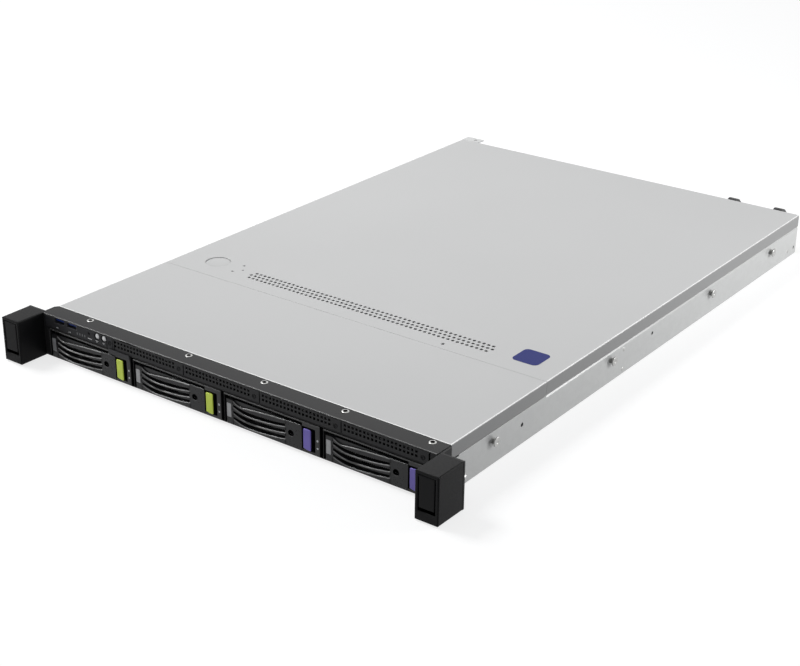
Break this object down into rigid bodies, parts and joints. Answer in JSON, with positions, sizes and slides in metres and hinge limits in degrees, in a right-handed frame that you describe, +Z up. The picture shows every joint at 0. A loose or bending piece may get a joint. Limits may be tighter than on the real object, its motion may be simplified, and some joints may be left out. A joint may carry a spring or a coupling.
{
  "type": "rack server",
  "caption": "One-unit rack server with drive carriers on hinged ribbed handles, flap-covered rack ears, a lift-off vented lid, a fan wall and slide-out power supplies.",
  "frame": {"origin": "mid width on the underside, in the plane of the rack flanges' front face", "axes": "+X to the right seen from the front, +Y to the back, +Z up"},
  "size_m": [0.4826, 0.7305, 0.0437],
  "materials": {
    "galvanised_steel": "zinc coated, satin",
    "lid_paint": "light grey satin",
    "frame_black": "black satin",
    "bezel_plastic": "fine matt black",
    "panel_plastic": "dark grey",
    "handle_plastic": "dark grey satin",
    "latch_green": "green",
    "latch_purple": "violet",
    "label_blue": "blue film",
    "board": "green solder mask",
    "memory": "boards with black chips",
    "heatsink": "milled",
    "fan_plastic": "black",
    "rotor_plastic": "black",
    "drive_alloy": "cast",
    "psu_can": "plated can",
    "button_white": "white",
    "port_steel": "plated shell",
    "screw_steel": "zinc plated",
    "baffle_plastic": "black",
    "release_plastic": "green"
  },
  "bodies": {
    "chassis": {"chassis_base": "galvanised_steel", "cable_bracket": "galvanised_steel", "front_cover": "lid_paint", "rear_panel": "galvanised_steel", "front_frame": "frame_black", "vent_grilles": "frame_black", "control_panel": "panel_plastic", "usb_ports": "port_steel", "control_board": "board", "front_screws": "screw_steel", "drive_cage": "galvanised_steel", "drive_backplane": "board", "fan_housings": "fan_plastic", "motherboard": "board", "cpu_heatsinks": "heatsink", "memory_modules": "memory", "air_baffle": "baffle_plastic", "riser_card": "board", "slot_filler": "galvanised_steel", "power_board": "board", "rear_ports": "port_steel", "rail_studs": "screw_steel", "ear_bracket_right": "frame_black", "ear_bracket_left": "frame_black", "ear_cap_right": "bezel_plastic", "ear_cap_left": "bezel_plastic"},
    "lid": {"top_cover": "lid_paint", "cover_label": "label_blue"},
    "power_button": {"power_button": "button_white"},
    "locate_button": {"locate_button": "button_white"},
    "reset_button": {"reset_button": "panel_plastic"},
    "flap_right": {"ear_flap_right": "bezel_plastic"},
    "rack_screw_right": {"captive_screw_right": "screw_steel"},
    "flap_left": {"ear_flap_left": "bezel_plastic"},
    "rack_screw_left": {"captive_screw_left": "screw_steel"},
    "carrier_1": {"carrier_tray_1": "bezel_plastic", "hard_drive_1": "drive_alloy"},
    "handle_1": {"carrier_handle_1": "handle_plastic"},
    "latch_1": {"carrier_latch_1": "latch_green"},
    "carrier_2": {"carrier_tray_2": "bezel_plastic", "hard_drive_2": "drive_alloy"},
    "handle_2": {"carrier_handle_2": "handle_plastic"},
    "latch_2": {"carrier_latch_2": "latch_green"},
    "carrier_3": {"carrier_tray_3": "bezel_plastic", "hard_drive_3": "drive_alloy"},
    "handle_3": {"carrier_handle_3": "handle_plastic"},
    "latch_3": {"carrier_latch_3": "latch_purple"},
    "carrier_4": {"carrier_tray_4": "bezel_plastic", "hard_drive_4": "drive_alloy"},
    "handle_4": {"carrier_handle_4": "handle_plastic"},
    "latch_4": {"carrier_latch_4": "latch_purple"},
    "fan_1": {"fan_rotor_1": "rotor_plastic"},
    "fan_2": {"fan_rotor_2": "rotor_plastic"},
    "fan_3": {"fan_rotor_3": "rotor_plastic"},
    "fan_4": {"fan_rotor_4": "rotor_plastic"},
    "fan_5": {"fan_rotor_5": "rotor_plastic"},
    "psu_1": {"power_supply_1": "psu_can"},
    "psu_release_1": {"psu_latch_1": "release_plastic"},
    "psu_2": {"power_supply_2": "psu_can"},
    "psu_release_2": {"psu_latch_2": "release_plastic"}
  },
  "joints": [
    {"name": "lid_lift", "type": "slide", "parent": "chassis", "child": "lid", "axis": [0, 0, 1], "range_m": [0, 0.12]},
    {"name": "power_button_press", "type": "slide", "parent": "chassis", "child": "power_button", "axis": [0, 1, 0], "range_m": [0, 0.0012], "stiffness_N_per_m": 300},
    {"name": "locate_button_press", "type": "slide", "parent": "chassis", "child": "locate_button", "axis": [0, 1, 0], "range_m": [0, 0.0012], "stiffness_N_per_m": 300},
    {"name": "reset_button_press", "type": "slide", "parent": "chassis", "child": "reset_button", "axis": [0, 1, 0], "range_m": [0, 0.0012], "stiffness_N_per_m": 300},
    {"name": "flap_right_hinge", "type": "hinge", "parent": "chassis", "child": "flap_right", "pos_m": [0.2301, -0.0309, 0.0389], "axis": [-1, 0, 0], "range_deg": [0, 90]},
    {"name": "rack_screw_right_turn", "type": "hinge", "parent": "chassis", "child": "rack_screw_right", "pos_m": [0.2325, 0, 0.0218], "axis": [0, 1, 0], "continuous": true},
    {"name": "flap_left_hinge", "type": "hinge", "parent": "chassis", "child": "flap_left", "pos_m": [-0.2301, -0.0309, 0.0389], "axis": [-1, 0, 0], "range_deg": [0, 90]},
    {"name": "rack_screw_left_turn", "type": "hinge", "parent": "chassis", "child": "rack_screw_left", "pos_m": [-0.2325, 0, 0.0218], "axis": [0, 1, 0], "continuous": true},
    {"name": "carrier_1_slide", "type": "slide", "parent": "chassis", "child": "carrier_1", "axis": [0, -1, 0], "range_m": [0, 0.16]},
    {"name": "handle_1_hinge", "type": "hinge", "parent": "carrier_1", "child": "handle_1", "pos_m": [-0.20625, 0, 0.014], "axis": [0, 0, -1], "range_deg": [0, 65]},
    {"name": "latch_1_slide", "type": "slide", "parent": "carrier_1", "child": "latch_1", "axis": [1, 0, 0], "range_m": [0, 0.003], "stiffness_N_per_m": 300},
    {"name": "carrier_2_slide", "type": "slide", "parent": "chassis", "child": "carrier_2", "axis": [0, -1, 0], "range_m": [0, 0.16]},
    {"name": "handle_2_hinge", "type": "hinge", "parent": "carrier_2", "child": "handle_2", "pos_m": [-0.09975, 0, 0.014], "axis": [0, 0, -1], "range_deg": [0, 65]},
    {"name": "latch_2_slide", "type": "slide", "parent": "carrier_2", "child": "latch_2", "axis": [1, 0, 0], "range_m": [0, 0.003], "stiffness_N_per_m": 300},
    {"name": "carrier_3_slide", "type": "slide", "parent": "chassis", "child": "carrier_3", "axis": [0, -1, 0], "range_m": [0, 0.16]},
    {"name": "handle_3_hinge", "type": "hinge", "parent": "carrier_3", "child": "handle_3", "pos_m": [0.00675, 0, 0.014], "axis": [0, 0, -1], "range_deg": [0, 65]},
    {"name": "latch_3_slide", "type": "slide", "parent": "carrier_3", "child": "latch_3", "axis": [1, 0, 0], "range_m": [0, 0.003], "stiffness_N_per_m": 300},
    {"name": "carrier_4_slide", "type": "slide", "parent": "chassis", "child": "carrier_4", "axis": [0, -1, 0], "range_m": [0, 0.16]},
    {"name": "handle_4_hinge", "type": "hinge", "parent": "carrier_4", "child": "handle_4", "pos_m": [0.11325, 0, 0.014], "axis": [0, 0, -1], "range_deg": [0, 65]},
    {"name": "latch_4_slide", "type": "slide", "parent": "carrier_4", "child": "latch_4", "axis": [1, 0, 0], "range_m": [0, 0.003], "stiffness_N_per_m": 300},
    {"name": "fan_1_spin", "type": "hinge", "parent": "chassis", "child": "fan_1", "pos_m": [-0.172, 0.216, 0.0212], "axis": [0, 1, 0], "continuous": true},
    {"name": "fan_2_spin", "type": "hinge", "parent": "chassis", "child": "fan_2", "pos_m": [-0.086, 0.216, 0.0212], "axis": [0, 1, 0], "continuous": true},
    {"name": "fan_3_spin", "type": "hinge", "parent": "chassis", "child": "fan_3", "pos_m": [0, 0.216, 0.0212], "axis": [0, 1, 0], "continuous": true},
    {"name": "fan_4_spin", "type": "hinge", "parent": "chassis", "child": "fan_4", "pos_m": [0.086, 0.216, 0.0212], "axis": [0, 1, 0], "continuous": true},
    {"name": "fan_5_spin", "type": "hinge", "parent": "chassis", "child": "fan_5", "pos_m": [0.172, 0.216, 0.0212], "axis": [0, 1, 0], "continuous": true},
    {"name": "psu_1_slide", "type": "slide", "parent": "chassis", "child": "psu_1", "axis": [0, 1, 0], "range_m": [0, 0.24]},
    {"name": "psu_1_release", "type": "slide", "parent": "psu_1", "child": "psu_release_1", "axis": [-1, 0, 0], "range_m": [0, 0.002], "stiffness_N_per_m": 300},
    {"name": "psu_2_slide", "type": "slide", "parent": "chassis", "child": "psu_2", "axis": [0, 1, 0], "range_m": [0, 0.24]},
    {"name": "psu_2_release", "type": "slide", "parent": "psu_2", "child": "psu_release_2", "axis": [-1, 0, 0], "range_m": [0, 0.002], "stiffness_N_per_m": 300}
  ]
}
